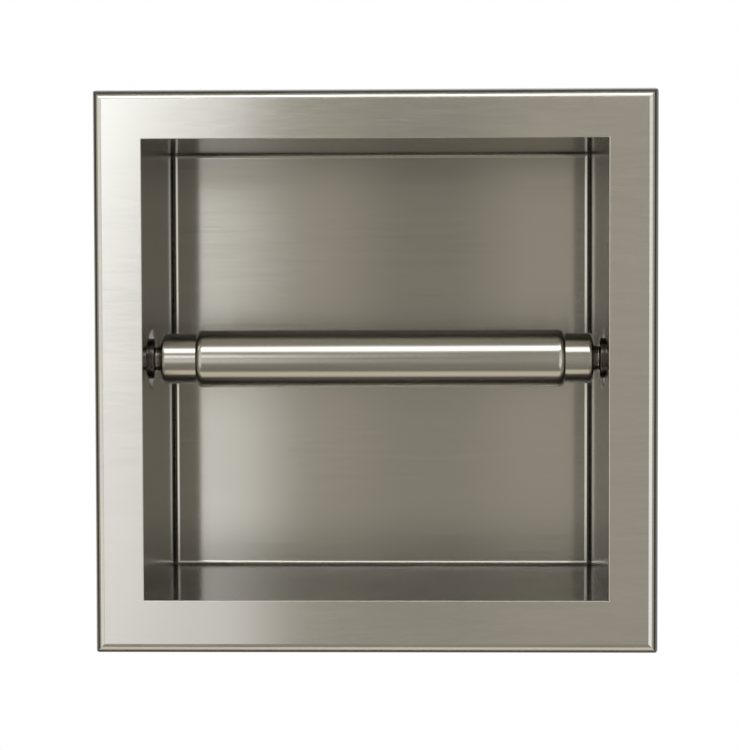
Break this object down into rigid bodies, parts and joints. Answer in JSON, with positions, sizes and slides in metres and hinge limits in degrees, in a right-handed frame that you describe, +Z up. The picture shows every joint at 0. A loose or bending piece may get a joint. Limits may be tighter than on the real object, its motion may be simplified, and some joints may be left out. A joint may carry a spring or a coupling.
{
  "type": "recessed toilet paper holder",
  "caption": "Square steel toilet paper holder let into the wall, with a flange, a deep recess, a sprung roller in pressed sockets and a clamping bracket behind.",
  "frame": {"origin": "centre of the hole in the wall, on the wall's front face", "axes": "+Y into the wall, +X to the right as the user faces the wall, +Z up"},
  "size_m": [0.156, 0.1042, 0.156],
  "materials": {
    "flange_steel": "satin, grain running left to right",
    "recess_steel": "satin, grain running left to right on the back",
    "roller_steel": "satin, turned",
    "tip_steel": "polished, dark",
    "bracket_steel": "zinc plated sheet steel",
    "screw_steel": "zinc plated",
    "spring_steel": "drawn wire",
    "nylon": "moulded natural nylon"
  },
  "bodies": {
    "housing": {"face_flange": "flange_steel", "recess_box": "recess_steel", "left_screw_washer": "screw_steel", "right_screw_washer": "screw_steel"},
    "roller": {"roller_sleeve": "roller_steel", "roller_spring": "spring_steel"},
    "left_plunger": {"left_end_barrel": "roller_steel", "left_pivot_tip": "tip_steel", "left_tip_ring": "spring_steel", "left_guide_collar": "nylon"},
    "right_plunger": {"right_end_barrel": "roller_steel", "right_pivot_tip": "tip_steel", "right_tip_ring": "spring_steel", "right_guide_collar": "nylon"},
    "bracket": {"rear_bracket": "bracket_steel", "left_weld_nut": "bracket_steel", "right_weld_nut": "bracket_steel"},
    "left_screw": {"left_bracket_screw": "screw_steel"},
    "right_screw": {"right_bracket_screw": "screw_steel"}
  },
  "joints": [
    {"name": "roller_spin", "type": "hinge", "parent": "housing", "child": "roller", "pos_m": [0, 0.019, 0.0025], "axis": [1, 0, 0], "continuous": true},
    {"name": "left_end_slide", "type": "slide", "parent": "roller", "child": "left_plunger", "axis": [1, 0, 0], "range_m": [0, 0.008], "stiffness_N_per_m": 690, "springref_m": -0.0154, "deforming": ["roller_spring"]},
    {"name": "right_end_slide", "type": "slide", "parent": "roller", "child": "right_plunger", "axis": [-1, 0, 0], "range_m": [0, 0.006], "stiffness_N_per_m": 690, "springref_m": -0.0154, "deforming": ["roller_spring"]},
    {"name": "left_screw_turn", "type": "hinge", "parent": "housing", "child": "left_screw", "pos_m": [-0.038, 0.0757, 0], "axis": [0, 1, 0], "range_deg": [-3240.5, 1646]},
    {"name": "right_screw_turn", "type": "hinge", "parent": "housing", "child": "right_screw", "pos_m": [0.038, 0.0757, 0], "axis": [0, 1, 0], "range_deg": [-3240.5, 1646]},
    {"name": "bracket_clamp", "type": "slide", "parent": "housing", "child": "bracket", "axis": [0, 1, 0], "range_m": [-0.0032, 0.0063]}
  ],
  "couplings": [
    {"joint": "left_screw_turn", "follows": "bracket_clamp", "rad_per_m": -8976},
    {"joint": "right_screw_turn", "follows": "bracket_clamp", "rad_per_m": -8976}
  ]
}
